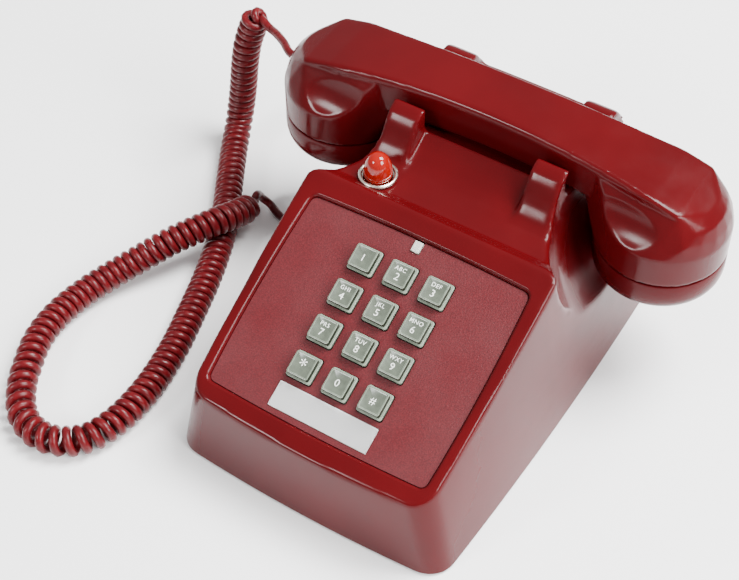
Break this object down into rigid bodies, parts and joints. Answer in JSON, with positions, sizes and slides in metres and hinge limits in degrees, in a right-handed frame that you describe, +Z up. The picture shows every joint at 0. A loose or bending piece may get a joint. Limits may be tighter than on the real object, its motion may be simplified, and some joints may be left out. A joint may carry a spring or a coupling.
{
  "type": "push-button desk telephone",
  "caption": "Push-button desk telephone with sloping keypad face, message lamp, four-pronged cradle, lift-off handset and a curly cord lying on the table.",
  "frame": {"origin": "on the table under the middle of the telephone's bounding box, measured without the cord", "axes": "+Z up, -Y towards the user in front of the keypad, +X to the user's right along the handset"},
  "size_m": [0.2815, 0.2563, 0.119],
  "materials": {
    "shell": "deep red gloss moulded plastic",
    "pebble": "fine pebble-grained red moulded plastic",
    "keys": "satin grey-green moulded plastic",
    "cord": "satin dark red cord jacket",
    "steel": "zinc-plated sheet steel",
    "nickel": "bright nickel-plated ring",
    "brass": "plain brass",
    "rubber": "black rubber",
    "black": "black moulded plastic",
    "clear": "milky clear plastic",
    "card": "white card",
    "lens": "translucent red-orange plastic",
    "board": "brown circuit board",
    "copper": "varnished copper winding, modelled as brass"
  },
  "bodies": {
    "base": {"housing": "shell", "faceplate": "pebble", "base_plate": "steel", "base_screw_front": "steel", "base_screw_rear": "steel", "dial_frame": "steel", "hook_bracket": "steel", "ringer_frame": "steel", "foot_front_left": "rubber", "foot_front_right": "rubber", "foot_rear_left": "rubber", "foot_rear_right": "rubber", "faceplate_latch": "clear", "label_window": "clear", "lamp_bulb": "clear", "cord_plug_base": "clear", "label_card": "card", "keypad_board": "board", "lamp_lens": "lens", "lamp_bezel": "nickel", "keypad_module": "black", "lamp_holder": "black", "network_block": "black", "handset_jack": "black", "line_jack": "black", "switch_contacts": "brass", "gong_left": "brass", "gong_right": "brass", "ringer_coil": "copper", "cord_coil": "cord", "cord_lead_base": "cord"},
    "handset": {"handset_shell": "shell", "ear_cap": "shell", "mouth_cap": "shell", "receiver_unit": "steel", "transmitter_unit": "black", "cord_plug_handset": "clear", "cord_lead_handset": "cord"},
    "hook_plungers": {"hook_plunger_left": "clear", "hook_plunger_right": "clear"},
    "hook_lever": {"hook_lever": "steel"},
    "clapper": {"ringer_clapper": "steel"},
    "volume_wheel": {"volume_wheel": "black"},
    "key_1_button": {"key_1": "keys"},
    "key_2_button": {"key_2": "keys"},
    "key_3_button": {"key_3": "keys"},
    "key_4_button": {"key_4": "keys"},
    "key_5_button": {"key_5": "keys"},
    "key_6_button": {"key_6": "keys"},
    "key_7_button": {"key_7": "keys"},
    "key_8_button": {"key_8": "keys"},
    "key_9_button": {"key_9": "keys"},
    "key_star_button": {"key_star": "keys"},
    "key_0_button": {"key_0": "keys"},
    "key_pound_button": {"key_pound": "keys"}
  },
  "joints": [
    {"name": "handset_lift", "type": "slide", "parent": "base", "child": "handset", "axis": [0, 0, 1], "range_m": [0, 0.08]},
    {"name": "hook_plunger_rise", "type": "slide", "parent": "base", "child": "hook_plungers", "axis": [0, 0, 1], "range_m": [0, 0.006]},
    {"name": "hook_lever_pivot", "type": "hinge", "parent": "base", "child": "hook_lever", "pos_m": [0, 0.039, 0.076], "axis": [1, 0, 0], "range_deg": [0, 15.2]},
    {"name": "clapper_swing", "type": "hinge", "parent": "base", "child": "clapper", "pos_m": [0, -0.043, 0.012], "axis": [0, 0, 1], "range_deg": [-8, 8], "stiffness_Nm_per_rad": 0.02},
    {"name": "volume_turn", "type": "hinge", "parent": "base", "child": "volume_wheel", "pos_m": [0.0575, -0.003, 0.0122], "axis": [1, 0, 0], "range_deg": [-60, 60]},
    {"name": "key_1_press", "type": "slide", "parent": "base", "child": "key_1_button", "axis": [0, 0.4289, -0.9033], "range_m": [0, 0.003], "stiffness_N_per_m": 200, "springref_m": -0.002},
    {"name": "key_2_press", "type": "slide", "parent": "base", "child": "key_2_button", "axis": [0, 0.4289, -0.9033], "range_m": [0, 0.003], "stiffness_N_per_m": 200, "springref_m": -0.002},
    {"name": "key_3_press", "type": "slide", "parent": "base", "child": "key_3_button", "axis": [0, 0.4289, -0.9033], "range_m": [0, 0.003], "stiffness_N_per_m": 200, "springref_m": -0.002},
    {"name": "key_4_press", "type": "slide", "parent": "base", "child": "key_4_button", "axis": [0, 0.4289, -0.9033], "range_m": [0, 0.003], "stiffness_N_per_m": 200, "springref_m": -0.002},
    {"name": "key_5_press", "type": "slide", "parent": "base", "child": "key_5_button", "axis": [0, 0.4289, -0.9033], "range_m": [0, 0.003], "stiffness_N_per_m": 200, "springref_m": -0.002},
    {"name": "key_6_press", "type": "slide", "parent": "base", "child": "key_6_button", "axis": [0, 0.4289, -0.9033], "range_m": [0, 0.003], "stiffness_N_per_m": 200, "springref_m": -0.002},
    {"name": "key_7_press", "type": "slide", "parent": "base", "child": "key_7_button", "axis": [0, 0.4289, -0.9033], "range_m": [0, 0.003], "stiffness_N_per_m": 200, "springref_m": -0.002},
    {"name": "key_8_press", "type": "slide", "parent": "base", "child": "key_8_button", "axis": [0, 0.4289, -0.9033], "range_m": [0, 0.003], "stiffness_N_per_m": 200, "springref_m": -0.002},
    {"name": "key_9_press", "type": "slide", "parent": "base", "child": "key_9_button", "axis": [0, 0.4289, -0.9033], "range_m": [0, 0.003], "stiffness_N_per_m": 200, "springref_m": -0.002},
    {"name": "key_star_press", "type": "slide", "parent": "base", "child": "key_star_button", "axis": [0, 0.4289, -0.9033], "range_m": [0, 0.003], "stiffness_N_per_m": 200, "springref_m": -0.002},
    {"name": "key_0_press", "type": "slide", "parent": "base", "child": "key_0_button", "axis": [0, 0.4289, -0.9033], "range_m": [0, 0.003], "stiffness_N_per_m": 200, "springref_m": -0.002},
    {"name": "key_pound_press", "type": "slide", "parent": "base", "child": "key_pound_button", "axis": [0, 0.4289, -0.9033], "range_m": [0, 0.003], "stiffness_N_per_m": 200, "springref_m": -0.002}
  ],
  "couplings": [
    {"joint": "hook_plunger_rise", "follows": "handset_lift", "ratio": 0.075},
    {"joint": "hook_lever_pivot", "follows": "handset_lift", "rad_per_m": 3.3}
  ]
}
